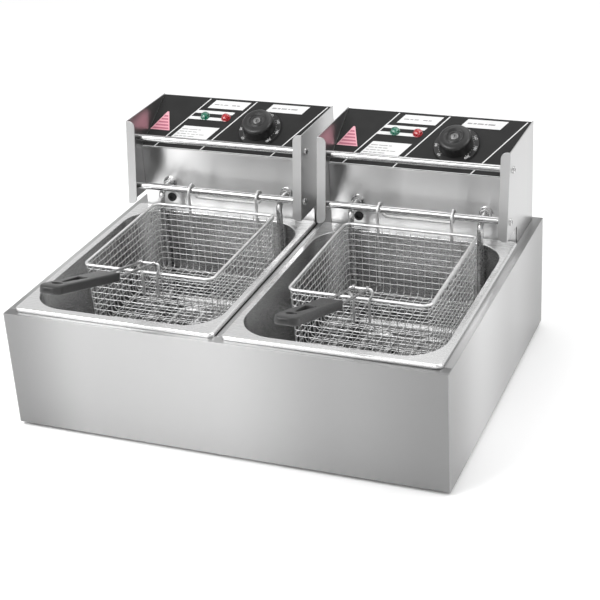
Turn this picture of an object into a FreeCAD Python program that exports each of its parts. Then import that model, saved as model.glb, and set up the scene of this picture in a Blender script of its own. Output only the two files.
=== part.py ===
"""Double-tank countertop deep fryer: a low cabinet with two lift-out tanks, each with a control head,
a heating element, a wire basket hung on a rod and a folding basket handle.

Sizes are in millimetres, with +Z up and the front at -Y.

Every unit is drawn about its own centre line, with y counted back from the cabinet's front face and z up
from the cabinet's lower edge.  Each object's Placement then moves it to its side and onto the feet.
"""
import FreeCAD
import Part
import Sketcher
import math
import os

SIZES = {
    # cabinet
    "cabinet_width": 560, "cabinet_depth": 437, "cabinet_height": 152, "gauge": 1.2,
    "foot_height": 5, "foot_radius": 13, "foot_inset": 32, "foot_chamfer": 2, "front_plane": -159.05,
    "side_return": 14, "front_return": 15, "rear_deck": 84, "low_return": 12, "divider_width": 6.4,
    # tanks
    "unit_offset": 137, "tank_width": 265, "tank_length": 338, "tank_front": 8, "flange_top": 157,
    "lip_drop": 4.6, "lip_round": 3, "flange_corner": 7, "opening_width": 247, "opening_length": 308,
    "opening_front": 20, "opening_corner": 48, "brim_round": 0.9, "tank_depth": 138, "floor_blend": 20,
    "tank_wall": 1,
    # control heads
    "head_shift": 3.75, "head_width": 252.5, "head_bottom": 152.5, "head_front": 351, "head_rear": 432,
    "face_plane": 348, "deck_low": 240, "deck_angle": 29.8, "overlay": 0.5, "ear_low": 176,
    "ear_high": 288, "ear_front_low": 298, "ear_front_high": 314.5, "ear_flange": 12, "ear_corner": 8,
    "back_drop": 1.5, "rod_radius": 4.5, "upper_rod_back": 326, "upper_rod_rise": 262,
    "lower_rod_back": 313, "lower_rod_rise": 197.5, "spigot_radius": 2.5, "screw_radius": 4.5,
    "screw_length": 2.2, "vent_length": 120, "vent_width": 4, "vent_pitch": 11, "vent_rise": 200,
    # heating element and fittings
    "tube_radius": 4, "tube_spread": 86.5, "tube_exit": 190.5, "tube_drop": 319, "tube_bend": 14,
    "element_rise": 31, "element_front": 62, "element_back": 285, "nut_radius": 8, "nut_length": 7,
    "grommet_side": -86, "grommet_rise": 169, "grommet_radius": 6.2, "grommet_lip": 1.6,
    "gland_side": 88, "gland_rise": 178, "gland_radius": 8, "gland_length": 15, "gland_bore": 3.4,
    "gland_collar": 4,
    # control knob, dial, lamps and thermostat, placed up the sloping deck
    "knob_side": 37, "knob_up": 45, "knob_radius": 22, "knob_height": 18, "knob_dome": 5,
    "crown_ring": 10.5, "crown_groove": 1.2, "shaft_radius": 3, "shaft_length": 16, "dial_radius": 30.5,
    "dial_height": 2.4, "dial_gap": 0.4, "lamp_up": 60.5, "green_side": -50, "red_side": -19,
    "lamp_radius": 6, "lamp_rim": 7, "lamp_collar": 1, "lamp_barrel": 2, "lamp_crown": 2.2,
    "lamp_tip": 1.8, "lamp_neck": 9, "case_width": 40, "case_length": 34, "case_height": 20,
    # baskets
    "basket_side": 3.75, "basket_width": 179, "basket_length": 203.5, "basket_front": 99.5,
    "basket_rim": 180, "basket_depth": 93, "basket_corner": 11, "basket_taper": 3, "floor_bend": 5,
    "mesh": 1.4, "rim_radius": 2, "hook_side_left": 11.2, "hook_side_right": 4.2, "hook_spread": 49,
    "hook_radius": 1.8, "hook_front": 304.8, "hook_bend": 8.6, "hook_crown": 196, "hook_tail": 184,
    "bracket_side": 5.5, "bracket_half": 13.75, "bracket_wire": 1.6, "bracket_top": 193,
    "bracket_low": 150, "bracket_bend": 2.8, "bracket_jog": 4,
    # basket handles: prongs from the eyes on the bracket, and a grip that lies below their line
    "eye_radius": 3.4, "eye_width": 3.2, "pin_play": 0.06, "prong_radius": 1.8, "prong_half": 8.6,
    "prong_wide": 10.3, "prong_bend": 2.6, "prong_buried": 40, "handle_slope": 18.7, "grip_start": 95,
    "grip_drop": 5.5, "grip_length": 141, "grip_width": 27, "grip_height": 11, "grip_round": 3.5,
    "grip_corner": 11, "hang_hole": 6.3, "hang_inset": 21, "slot_length": 46, "slot_wide": 6.6,
    "slot_narrow": 2.2, "slot_inset": 33.5, "slot_round": 4,
}
SIDES = {"left": -1, "right": 1}
SHEET_WIDTH = "<head_width> - 2 * <gauge> - 0.4"
VENT_ROWS = 5
HOLE_SIDES = 12
DRILL = "10"      # long enough to pass through any sheet

doc = FreeCAD.newDocument("deep_fryer")
dims = doc.addObject("Spreadsheet::Sheet", "dims")
for row, (alias, number) in enumerate(SIZES.items(), 1):
    dims.set(f"A{row}", alias)
    dims.set(f"B{row}", str(number))
    dims.setAlias(f"B{row}", alias)
doc.recompute()
nodes = []


def size(alias):
    """The number in the sheet's cell of that name."""
    return float(dims.get(alias))


def expand(text):
    """Write <name> in an expression as a reference to the sheet's cell."""
    return text.replace("<", "dims.").replace(">", "")


def value(text):
    """The number that an expression of the sheet's cells gives."""
    result = dims.evalExpression(expand(text))
    return float(getattr(result, "Value", result))


def bind(item, **expressions):
    """Bind properties to expressions of the sheet's cells."""
    for name, text in expressions.items():
        item.setExpression(name.replace("__", "."), expand(text))


def make(kind, name, **expressions):
    item = doc.addObject(kind, name)
    bind(item, **expressions)
    return item


def locate(item, side="0", back="0", up="0", axis=None, turn="0"):
    """Place an object by expressions: across, back from the front face and up from the cabinet's edge."""
    if axis is not None:
        item.Placement = FreeCAD.Placement(FreeCAD.Vector(), FreeCAD.Rotation(FreeCAD.Vector(*axis), 1))
        bind(item, Placement__Rotation__Angle=turn)
    bind(item, Placement__Base__x=side, Placement__Base__y=back, Placement__Base__z=up)
    return item


def box(name, wide, deep, tall, side="0", back="0", up="0"):
    """A box centred across, with its front and lower faces at the places given."""
    item = make("Part::Box", name, Length=wide, Width=deep, Height=tall)
    return locate(item, f"({side}) - ({wide}) / 2", back, up)


def bar(name, radius, length, side="0", back="0", up="0"):
    """A round bar along X that starts at the place given."""
    item = make("Part::Cylinder", name, Radius=radius, Height=length)
    return locate(item, side, back, up, (0, 1, 0), "90")


def post(name, radius, length, side="0", back="0", up="0"):
    item = make("Part::Cylinder", name, Radius=radius, Height=length)
    return locate(item, side, back, up)


def stub(name, radius, length, side="0", back="0", up="0"):
    """A round bar that runs forward, toward -Y, from the place given."""
    item = make("Part::Cylinder", name, Radius=radius, Height=length)
    return locate(item, side, back, up, (1, 0, 0), "90")


def fuse(name, pieces):
    item = doc.addObject("Part::MultiFuse", name)
    item.Shapes = pieces
    return item


def cut(name, base, tool):
    item = doc.addObject("Part::Cut", name)
    item.Base = base
    item.Tool = tool
    return item


def solid_of(name, shape):
    """A bent wire or another shape that neither a body nor a primitive gives."""
    item = doc.addObject("Part::Feature", name)
    item.Shape = shape
    return item


def finish(item, label, side=None, aside="0"):
    """Name a sub-part and carry it to its side, behind the front plane and onto the feet.

    The heads and the baskets hang a little to one side of their unit's centre line.
    """
    item.Label = label
    shift = "0" if side is None else f"{SIDES[side]} * <unit_offset> + {aside}"
    moved = {"Placement__Base__x": shift, "Placement__Base__y": "<front_plane>"}
    bind(item, Placement__Base__z="<foot_height>", **moved)
    nodes.append(item)


def finish_head(item, label, side):
    finish(item, label, side, "<head_shift>")


def finish_basket(item, label, side):
    finish(item, label, side, "<basket_side>")


def start_body(name):
    return doc.addObject("PartDesign::Body", name)


def outline(body, name, role, points, lift="0"):
    """A closed sketch of straight lines whose corners are held by expressions."""
    sketch = body.newObject("Sketcher::SketchObject", name)
    plane = next(item for item in body.Origin.OriginFeatures if item.Role == role)
    sketch.AttachmentSupport = [(plane, "")]
    sketch.MapMode = "FlatFace"
    bind(sketch, AttachmentOffset__Base__z=lift)
    places = [FreeCAD.Vector(value(across), value(up), 0) for across, up in points]
    for index, place in enumerate(places):
        sketch.addGeometry(Part.LineSegment(place, places[(index + 1) % len(places)]))
    for index in range(len(places)):
        following = (index + 1) % len(places)
        sketch.addConstraint(Sketcher.Constraint("Coincident", index, 2, following, 1))
    for index, (across, up) in enumerate(points):
        held = (("DistanceX", across, places[index].x), ("DistanceY", up, places[index].y))
        for kind, text, number in held:
            row = sketch.addConstraint(Sketcher.Constraint(kind, index, 1, number))
            sketch.setExpression(f"Constraints[{row}]", expand(text))
    return sketch


def rectangle(body, name, wide, deep, front, lift="0"):
    """A rectangle centred across on the horizontal plane."""
    left = f"-({wide}) / 2"
    right = f"({wide}) / 2"
    rear = f"({front}) + ({deep})"
    points = [(left, front), (right, front), (right, rear), (left, rear)]
    return outline(body, name, "XY_Plane", points, lift)


def rounded(body, name, wide, deep, front, radius, lift="0"):
    """A rectangle with round corners, centred across on the horizontal plane."""
    sketch = body.newObject("Sketcher::SketchObject", name)
    plane = next(item for item in body.Origin.OriginFeatures if item.Role == "XY_Plane")
    sketch.AttachmentSupport = [(plane, "")]
    sketch.MapMode = "FlatFace"
    bind(sketch, AttachmentOffset__Base__z=lift)
    right = f"({wide}) / 2 - ({radius})"
    near = f"({front}) + ({radius})"
    rear = f"({front}) + ({deep}) - ({radius})"
    centres = [(right, near), (right, rear), (f"-({right})", rear), (f"-({right})", near)]
    bend = value(radius)
    spots = [FreeCAD.Vector(value(across), value(back), 0) for across, back in centres]
    normal = FreeCAD.Vector(0, 0, 1)
    for index, spot in enumerate(spots):
        begin = math.radians(90 * index - 90)
        circle = Part.Circle(spot, normal, bend)
        sketch.addGeometry(Part.ArcOfCircle(circle, begin, begin + math.pi / 2))
    for index, spot in enumerate(spots):
        outward = FreeCAD.Vector(math.cos(math.pi / 2 * index), math.sin(math.pi / 2 * index), 0) * bend
        sketch.addGeometry(Part.LineSegment(spot + outward, spots[(index + 1) % 4] + outward))
    for index in range(4):
        sketch.addConstraint(Sketcher.Constraint("Tangent", index, 2, 4 + index, 1))
        sketch.addConstraint(Sketcher.Constraint("Tangent", 4 + index, 2, (index + 1) % 4, 1))
    for index, (across, back) in enumerate(centres):
        held = (("DistanceX", across, spots[index].x), ("DistanceY", back, spots[index].y))
        for kind, text, number in held:
            row = sketch.addConstraint(Sketcher.Constraint(kind, index, 3, number))
            sketch.setExpression(f"Constraints[{row}]", expand(text))
        row = sketch.addConstraint(Sketcher.Constraint("Radius", index, bend))
        sketch.setExpression(f"Constraints[{row}]", expand(radius))
    return sketch


def extrude(body, kind, name, sketch, length, flip=False, middle=False):
    """A pad or a pocket of a sketch."""
    feature = body.newObject(f"PartDesign::{kind}", name)
    feature.Profile = sketch
    bind(feature, Length=length)
    feature.Reversed = flip
    feature.Midplane = middle
    doc.recompute()
    return feature


def round_edges(body, name, chosen, radius):
    """Fillet the edges of the body's tip that a test picks."""
    tip = body.Tip
    names = [f"Edge{row}" for row, edge in enumerate(tip.Shape.Edges, 1) if chosen(edge)]
    feature = body.newObject("PartDesign::Fillet", name)
    feature.Base = (tip, names)
    bind(feature, Radius=radius)
    doc.recompute()
    return feature


def is_upright(edge):
    box_of = edge.BoundBox
    return box_of.XLength < 0.01 and box_of.YLength < 0.01


def bent_path(points, bend, closed=False):
    """A wire of straight runs joined by tangent arcs."""
    places = [FreeCAD.Vector(*point) for point in points]
    count = len(places)
    corners = []
    for index, corner in enumerate(places):
        if not closed and index in (0, count - 1):
            corners.append((corner, corner, None))
            continue
        before = (places[index - 1] - corner).normalize()
        after = (places[(index + 1) % count] - corner).normalize()
        half = before.getAngle(after) / 2
        reach = bend / math.tan(half)
        middle = (before + after).normalize() * (bend / math.sin(half) - bend)
        corners.append((corner + before * reach, corner + after * reach, corner + middle))
    edges = []
    for index in range(count if closed else count - 1):
        entry, leave, middle = corners[index]
        if middle is not None:
            edges.append(Part.Arc(entry, middle, leave).toShape())
        following = corners[(index + 1) % count][0]
        if (following - leave).Length > 1e-4:
            edges.append(Part.LineSegment(leave, following).toShape())
    return Part.Wire(edges)


def swept(points, radius, bend, closed=False):
    """A round wire swept along a bent path."""
    path = bent_path(points, bend, closed)
    first = path.Edges[0]
    begin = first.valueAt(first.FirstParameter)
    direction = first.tangentAt(first.FirstParameter)
    ring = Part.Wire([Part.Circle(begin, direction, radius).toShape()])
    tube = path.makePipeShell([ring], True, False)
    wanted = math.pi * radius ** 2 * path.Length
    if abs(tube.Volume - wanted) > 0.02 * wanted:
        raise ValueError(f"a swept wire has volume {tube.Volume:.0f} and not {wanted:.0f}")
    return tube


def on_deck(up, raised="0"):
    """Expressions for a place up the sloping deck and raised off it."""
    back = f"<face_plane> + ({up}) * cos(<deck_angle>) - ({raised}) * sin(<deck_angle>)"
    rise = f"<deck_low> + ({up}) * sin(<deck_angle>) + ({raised}) * cos(<deck_angle>)"
    return back, rise


def deck_item(item, side, up, raised="0"):
    """Stand an object on the sloping deck."""
    back, rise = on_deck(up, raised)
    return locate(item, side, back, rise, (1, 0, 0), "<deck_angle>")


# ---------------------------------------------------------------- cabinet

def cabinet_front():
    """Front panel with a return along its top and its foot."""
    body = start_body("cabinet_front_body")
    wide = "<cabinet_width> - 2 * <gauge>"
    points = [
        ("0", "0"), ("0", "<cabinet_height>"), ("<front_return>", "<cabinet_height>"),
        ("<front_return>", "<cabinet_height> - <gauge>"), ("<gauge>", "<cabinet_height> - <gauge>"),
        ("<gauge>", "<gauge>"), ("<low_return>", "<gauge>"), ("<low_return>", "0"),
    ]
    sketch = outline(body, "cabinet_front_profile", "YZ_Plane", points)
    extrude(body, "Pad", "cabinet_front_pad", sketch, wide, middle=True)
    finish(body, "cabinet_front")


def cabinet_side(side):
    """Side panel with returns inward along its top and its foot, behind those of the front panel."""
    body = start_body(f"cabinet_side_{side}_body")
    sign = SIDES[side]
    outer = f"{sign} * <cabinet_width> / 2"
    inner = f"{sign} * (<cabinet_width> / 2 - <gauge>)"
    top_edge = f"{sign} * (<cabinet_width> / 2 - <side_return>)"
    low_edge = f"{sign} * (<cabinet_width> / 2 - <low_return>)"
    under = "<cabinet_height> - <gauge>"
    sheets = (
        ("panel", outer, inner, "0", "<cabinet_height>", "0"),
        ("top_return", inner, top_edge, under, "<cabinet_height>", "<front_return> + 0.2"),
        ("low_return", inner, low_edge, "0", "<gauge>", "<low_return> + 0.2"),
    )
    for sheet, near, far, low, high, fore in sheets:
        name = f"cabinet_side_{side}_{sheet}"
        points = [(near, low), (near, high), (far, high), (far, low)]
        profile = outline(body, name, "XZ_Plane", points, f"-({fore})")
        extrude(body, "Pad", f"{name}_pad", profile, f"<cabinet_depth> - ({fore})", flip=True)
    finish(body, f"cabinet_side_{side}")


def cabinet_rear():
    """Rear panel, and from its top a deck that runs forward under the control heads."""
    body = start_body("cabinet_rear_body")
    rear = "<cabinet_depth>"
    inside = f"{rear} - <gauge>"
    fore = "<cabinet_depth> - <rear_deck>"
    under = "<cabinet_height> - <gauge>"
    lip = "<cabinet_height> - <low_return>"
    panel = [(inside, "<gauge>"), (rear, "<gauge>"), (rear, f"{under} - 0.2"), (inside, f"{under} - 0.2")]
    sketch = outline(body, "cabinet_rear_panel", "YZ_Plane", panel)
    wide = "<cabinet_width> - 2 * <gauge> - 0.2"
    extrude(body, "Pad", "cabinet_rear_panel_pad", sketch, wide, middle=True)
    deck = [
        (rear, f"{under} - 0.3"), (rear, "<cabinet_height>"), (fore, "<cabinet_height>"), (fore, lip),
        (f"{fore} + <gauge>", lip), (f"{fore} + <gauge>", under), (inside, under),
        (inside, f"{under} - 0.3"),
    ]
    sketch = outline(body, "cabinet_rear_deck", "YZ_Plane", deck)
    wide = "<cabinet_width> - 2 * <side_return> - 0.4"
    extrude(body, "Pad", "cabinet_rear_deck_pad", sketch, wide, middle=True)
    finish(body, "cabinet_rear")


def cabinet_base():
    """Flat bottom sheet inside the lower returns."""
    wide = "<cabinet_width> - 2 * <gauge> - 1"
    deep = "<cabinet_depth> - 2 * <gauge> - 1"
    body = start_body("cabinet_base_body")
    sketch = rectangle(body, "cabinet_base_profile", wide, deep, "<gauge> + 0.5", "<gauge>")
    extrude(body, "Pad", "cabinet_base_pad", sketch, "<gauge>")
    finish(body, "cabinet_base")


def cabinet_divider():
    """Narrow channel, open below, in the gap between the two tanks' flanges."""
    body = start_body("cabinet_divider_body")
    half = "<divider_width> / 2"
    inner = "<divider_width> / 2 - <gauge>"
    under = "<cabinet_height> - <gauge>"
    low = "<cabinet_height> - <low_return>"
    points = [
        (f"-({half})", low), (f"-({half})", "<cabinet_height>"), (half, "<cabinet_height>"), (half, low),
        (inner, low), (inner, under), (f"-({inner})", under), (f"-({inner})", low),
    ]
    fore = "<front_return> + 0.2"
    sketch = outline(body, "cabinet_divider_profile", "XZ_Plane", points, f"-({fore})")
    length = f"<cabinet_depth> - <rear_deck> - 0.2 - ({fore})"
    extrude(body, "Pad", "cabinet_divider_pad", sketch, length, flip=True)
    finish(body, "cabinet_divider")


def cabinet_foot(name, side, back):
    """Round rubber foot with a chamfered tread and a stem up to the base sheet."""
    place = (f"{SIDES[side]} * (<cabinet_width> / 2 - <foot_inset>)", back)
    tread = make("Part::Cone", f"{name}_tread", Radius1="<foot_radius> - <foot_chamfer>",
                 Radius2="<foot_radius>", Height="<foot_chamfer>")
    locate(tread, *place, "-<foot_height>")
    pad = post(f"{name}_pad", "<foot_radius>", "<foot_height> - <foot_chamfer>", *place,
               "<foot_chamfer> - <foot_height>")
    stem = post(f"{name}_stem", "<foot_radius> - 3", "<gauge>", *place, "0")
    finish(fuse(name + "_body", [tread, pad, stem]), name)


# ---------------------------------------------------------------- tanks

def tank(side):
    """Pressed tank with a rolled rim: an open basin with large corners under a flat flange."""
    name = f"tank_{side}"
    body = start_body(f"{name}_body")
    flange_low = "<flange_top> - <lip_drop>"
    plate = rounded(body, f"{name}_plate", "<tank_width>", "<tank_length>", "<tank_front>",
                    "<flange_corner>", flange_low)
    extrude(body, "Pad", f"{name}_plate_pad", plate, "<lip_drop>")
    top = value("<flange_top>")
    round_edges(body, f"{name}_rolled_lip", lambda edge: edge.BoundBox.ZMin > top - 0.01, "<lip_round>")
    hollow = rounded(body, f"{name}_lip_hollow", "<tank_width> - 2 * <gauge>",
                     "<tank_length> - 2 * <gauge>", "<tank_front> + <gauge>",
                     "<flange_corner> - <gauge>", flange_low)
    extrude(body, "Pocket", f"{name}_lip_pocket", hollow, "<lip_drop> - <lip_round> - 0.2", flip=True)
    basin = rounded(body, f"{name}_basin", "<opening_width> + 2 * <tank_wall>",
                    "<opening_length> + 2 * <tank_wall>", "<opening_front> - <tank_wall>",
                    "<opening_corner> + <tank_wall>", "<flange_top> - 1")
    extrude(body, "Pad", f"{name}_basin_pad", basin, "<tank_depth> - 1", flip=True)
    floor = value("<flange_top> - <tank_depth>")
    mouth = rounded(body, f"{name}_mouth", "<opening_width>", "<opening_length>", "<opening_front>",
                    "<opening_corner>", "<flange_top>")
    extrude(body, "Pocket", f"{name}_mouth_pocket", mouth, "<tank_depth> - <tank_wall>")
    inner = floor + value("<tank_wall>")
    at_floor = lambda edge: abs(edge.BoundBox.ZMin - inner) < 0.1 and edge.BoundBox.ZMax < inner + 0.1
    round_edges(body, f"{name}_mouth_floor", at_floor, "<floor_blend> - <tank_wall>")
    under_floor = lambda edge: edge.BoundBox.ZMax < floor + 0.1
    round_edges(body, f"{name}_basin_floor", under_floor, "<floor_blend>")
    half = value("<opening_width> / 2")
    at_brim = lambda edge: edge.BoundBox.ZMin > top - 0.1 and edge.BoundBox.XMax < half + 0.1
    round_edges(body, f"{name}_brim", at_brim, "<brim_round>")
    finish(body, name, side)


# ---------------------------------------------------------------- control heads

def head_side(side, hand):
    """Side plate of a head: it carries both rods and has a flange turned inward along its front."""
    sign = SIDES[hand]
    name = f"head_{side}_plate_{hand}"
    body = start_body(f"{name}_body")
    points = [
        ("<ear_front_low>", "<ear_low>"), ("<head_front>", "<ear_low>"),
        ("<head_front>", "<head_bottom>"), ("<head_rear>", "<head_bottom>"),
        ("<head_rear>", "<ear_high>"), ("<ear_front_high>", "<ear_high>"),
    ]
    sheet = outline(body, f"{name}_sheet", "YZ_Plane", points, f"{sign} * (<head_width> / 2 - <gauge>)")
    extrude(body, "Pad", f"{name}_sheet_pad", sheet, "<gauge>", flip=sign < 0)
    points = [
        ("<ear_front_low>", "<ear_low>"), ("<ear_front_low> + <gauge>", "<ear_low>"),
        ("<ear_front_high> + <gauge>", "<ear_high>"), ("<ear_front_high>", "<ear_high>"),
    ]
    flange = outline(body, f"{name}_flange", "YZ_Plane", points, f"{sign} * <head_width> / 2")
    extrude(body, "Pad", f"{name}_flange_pad", flange, "<ear_flange>", flip=sign > 0)
    free = value("<head_width> / 2 - <ear_flange>")

    def free_corner(edge):
        span = edge.BoundBox
        at_free_edge = abs(abs(span.XMin) - free) < 0.01 and span.XLength < 0.01
        return at_free_edge and max(span.YLength, span.ZLength) < 3

    round_edges(body, f"{name}_corners", free_corner, "<ear_corner>")
    for rod, back, rise in rods():
        hole = outline(body, f"{name}_{rod}_hole", "YZ_Plane", punched(back, rise))
        extrude(body, "Pocket", f"{name}_{rod}_pocket", hole, "<head_width> + 2", middle=True)
    finish_head(body, name, side)


def punched(back, rise):
    """Corners of the clearance hole for a rod's spigot, drawn as a regular many-sided outline."""
    radius = "(<spigot_radius> + 0.2)"
    turns = [index * 360 / HOLE_SIDES for index in range(HOLE_SIDES)]
    return [(f"{back} + {radius} * cos({turn})", f"{rise} + {radius} * sin({turn})") for turn in turns]


def rods():
    """Each rod's name, with its place back and up."""
    upper = ("upper", "<upper_rod_back>", "<upper_rod_rise>")
    lower = ("lower", "<lower_rod_back>", "<lower_rod_rise>")
    return upper, lower


def deck_holes(name):
    """Holes through the sloping deck for the knob's shaft and the two lamps."""
    shaft = make("Part::Cylinder", f"{name}_shaft_hole", Radius="<shaft_radius> + 1", Height=DRILL)
    holes = [deck_item(shaft, "<knob_side>", "<knob_up>", f"-{DRILL} / 2")]
    for lamp in ("green", "red"):
        hole = make("Part::Cylinder", f"{name}_{lamp}_hole", Radius="<lamp_radius> - 1.5", Height=DRILL)
        holes.append(deck_item(hole, f"<{lamp}_side>", "<lamp_up>", f"-{DRILL} / 2"))
    return holes


def head_rod(side, rod, back, rise):
    """Polished bar between the side plates, with spigots through them and domed screw heads outside."""
    name = f"head_{side}_{rod}_rod"
    inside = "<head_width> / 2 - <gauge>"
    outside = "<head_width> / 2"
    main = bar(f"{name}_bar", "<rod_radius>", f"2 * ({inside})", f"-({inside})", back, rise)
    spigot = bar(f"{name}_spigot", "<spigot_radius>", "<head_width>", f"-{outside}", back, rise)
    pieces = [main, spigot]
    for hand, sign in SIDES.items():
        begin = outside if sign > 0 else f"-{outside} - <screw_length>"
        screw = bar(f"{name}_screw_{hand}", "<screw_radius>", "<screw_length>", begin, back, rise)
        pieces.append(screw)
    finish_head(fuse(f"{name}_body", pieces), name, side)


def head_front(side):
    """Front sheet of a head: an upright face that bends back into the sloping control deck."""
    name = f"head_{side}_front"
    body = start_body(f"{name}_body")
    rear = "<head_rear> - <gauge> - 0.2"
    slope = "tan(<deck_angle>)"
    top = f"<deck_low> + ({rear} - <face_plane>) * {slope}"
    drop = "<gauge> / cos(<deck_angle>)"
    inner = f"<deck_low> + <gauge> * {slope} - {drop}"
    points = [
        ("<face_plane>", "<head_bottom>"), ("<face_plane> + <gauge>", "<head_bottom>"),
        ("<face_plane> + <gauge>", inner), (rear, f"{top} - {drop}"), (rear, top),
        ("<face_plane>", "<deck_low>"),
    ]
    sketch = outline(body, f"{name}_profile", "YZ_Plane", points)
    extrude(body, "Pad", f"{name}_pad", sketch, SHEET_WIDTH, middle=True)
    behind = f"<face_plane> + {DRILL} / 2"
    holes = deck_holes(name)
    holes.append(stub(f"{name}_grommet_hole", "<grommet_radius> - 1.5", DRILL, "<grommet_side>", behind,
                      "<grommet_rise>"))
    for hand, sign in SIDES.items():
        hole = stub(f"{name}_tube_hole_{hand}", "<tube_radius> + 0.5", DRILL, f"{sign} * <tube_spread>",
                    behind, "<tube_exit>")
        holes.append(hole)
    finish_head(cut(f"{name}_cut", body, fuse(f"{name}_holes", holes)), name, side)


def head_back(side):
    """Rear sheet of a head, with a block of vent slots and the hole for the supply cord."""
    name = f"head_{side}_back"
    sheet = box(f"{name}_sheet", SHEET_WIDTH, "<gauge>", "<ear_high> - <back_drop> - <head_bottom>",
                "0", "<head_rear> - <gauge>", "<head_bottom>")
    behind = f"<head_rear> + {DRILL} / 2"
    holes = [stub(f"{name}_cord_hole", "<gland_radius> - 2", DRILL, "<gland_side>", behind,
                  "<gland_rise>")]
    for row in range(VENT_ROWS):
        place = ("0", f"<head_rear> - {DRILL} / 2", f"<vent_rise> + {row} * <vent_pitch>")
        holes.append(box(f"{name}_vent_{row + 1}", "<vent_length>", DRILL, "<vent_width>", *place))
    finish_head(cut(f"{name}_cut", sheet, fuse(f"{name}_holes", holes)), name, side)


def head_floor(side):
    """Bottom sheet of a head, between its face and its rear sheet."""
    name = f"head_{side}_floor"
    fore = "<face_plane> + <gauge> + 0.3"
    deep = f"<head_rear> - <gauge> - 0.1 - ({fore})"
    body = start_body(f"{name}_body")
    sketch = rectangle(body, f"{name}_plan", SHEET_WIDTH, deep, fore, "<head_bottom>")
    extrude(body, "Pad", f"{name}_pad", sketch, "<gauge>")
    finish_head(body, name, side)


def control_overlay(side):
    """Printed facing that covers the sloping deck, pierced for the shaft and the lamps."""
    name = f"control_overlay_{side}"
    wide = "<head_width> - 2 * <gauge> - 1"
    long = "(<head_rear> - <gauge> - <face_plane>) / cos(<deck_angle>) - 2"
    sheet = make("Part::Box", f"{name}_sheet", Length=wide, Width=long, Height="<overlay>")
    deck_item(sheet, f"-({wide}) / 2", "0.8")
    finish_head(cut(f"{name}_cut", sheet, fuse(f"{name}_holes", deck_holes(name))), name, side)


def pilot_lamp(side, lamp):
    """Domed lens on a thin collar, with its neck through the deck."""
    name = f"lamp_{lamp}_{side}"
    place = (f"<{lamp}_side>", "<lamp_up>")
    collar = make("Part::Cylinder", f"{name}_collar", Radius="<lamp_rim>", Height="<lamp_collar>")
    deck_item(collar, *place, "<overlay>")
    neck = make("Part::Cylinder", f"{name}_neck", Radius="<lamp_radius> - 1.7",
                Height="<overlay> + <lamp_neck>")
    deck_item(neck, *place, "-<lamp_neck>")
    barrel = make("Part::Cone", f"{name}_barrel", Radius1="<lamp_radius>", Radius2="<lamp_radius> - 0.8",
                  Height="<lamp_barrel>")
    deck_item(barrel, *place, "<overlay> + <lamp_collar>")
    crown = make("Part::Cone", f"{name}_crown", Radius1="<lamp_radius> - 0.8", Radius2="<lamp_tip>",
                 Height="<lamp_crown>")
    deck_item(crown, *place, "<overlay> + <lamp_collar> + <lamp_barrel>")
    finish_head(fuse(f"{name}_body", [collar, neck, barrel, crown]), name, side)


def thermostat(side):
    """Thermostat housing hung under the deck behind the knob, with a socket for the knob's shaft."""
    name = f"thermostat_{side}"
    case = make("Part::Box", f"{name}_case", Length="<case_width>", Width="<case_length>",
                Height="<case_height>")
    deck_item(case, "<knob_side> - <case_width> / 2", "<knob_up> - <case_length> / 2",
              "-<gauge> - <case_height>")
    socket = make("Part::Cylinder", f"{name}_socket", Radius="<shaft_radius> + <pin_play>", Height="14")
    deck_item(socket, "<knob_side>", "<knob_up>", "-<gauge> - 13")
    finish_head(cut(f"{name}_cut", case, socket), name, side)


def control_dial(side):
    """Thin conical skirt under the knob that carries the temperature marks."""
    name = f"dial_{side}"
    skirt = make("Part::Cone", f"{name}_skirt", Radius1="<dial_radius>", Radius2="<dial_radius> - 1.2",
                 Height="<dial_height>")
    deck_item(skirt, "<knob_side>", "<knob_up>", "<overlay> + <dial_gap>")
    hole = make("Part::Cylinder", f"{name}_hole", Radius="<shaft_radius> + <pin_play>", Height=DRILL)
    deck_item(hole, "<knob_side>", "<knob_up>", "-2")
    finish_head(cut(f"{name}_cut", skirt, hole), name, side)


def control_knob(side):
    """Domed knob with a shallow ring on its crown, and the shaft that turns in the thermostat."""
    name = f"knob_{side}"
    place = ("<knob_side>", "<knob_up>")
    foot = "<overlay> + <dial_gap> + <dial_height>"
    skirt = make("Part::Cone", f"{name}_skirt", Radius1="<knob_radius>", Radius2="<knob_radius> - 1",
                 Height="<knob_height> - <knob_dome>")
    deck_item(skirt, *place, foot)
    dome = make("Part::Cone", f"{name}_dome", Radius1="<knob_radius> - 1",
                Radius2="<knob_radius> - 1 - <knob_dome>", Height="<knob_dome>")
    deck_item(dome, *place, f"{foot} + <knob_height> - <knob_dome>")
    shaft = make("Part::Cylinder", f"{name}_shaft", Radius="<shaft_radius>", Height="<shaft_length> + 1")
    deck_item(shaft, *place, f"{foot} - <shaft_length>")
    whole = fuse(f"{name}_whole", [skirt, dome, shaft])
    ring = make("Part::Torus", f"{name}_ring", Radius1="<crown_ring>", Radius2="<crown_groove>")
    deck_item(ring, *place, f"{foot} + <knob_height>")
    finish_head(cut(f"{name}_cut", whole, ring), name, side)


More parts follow.
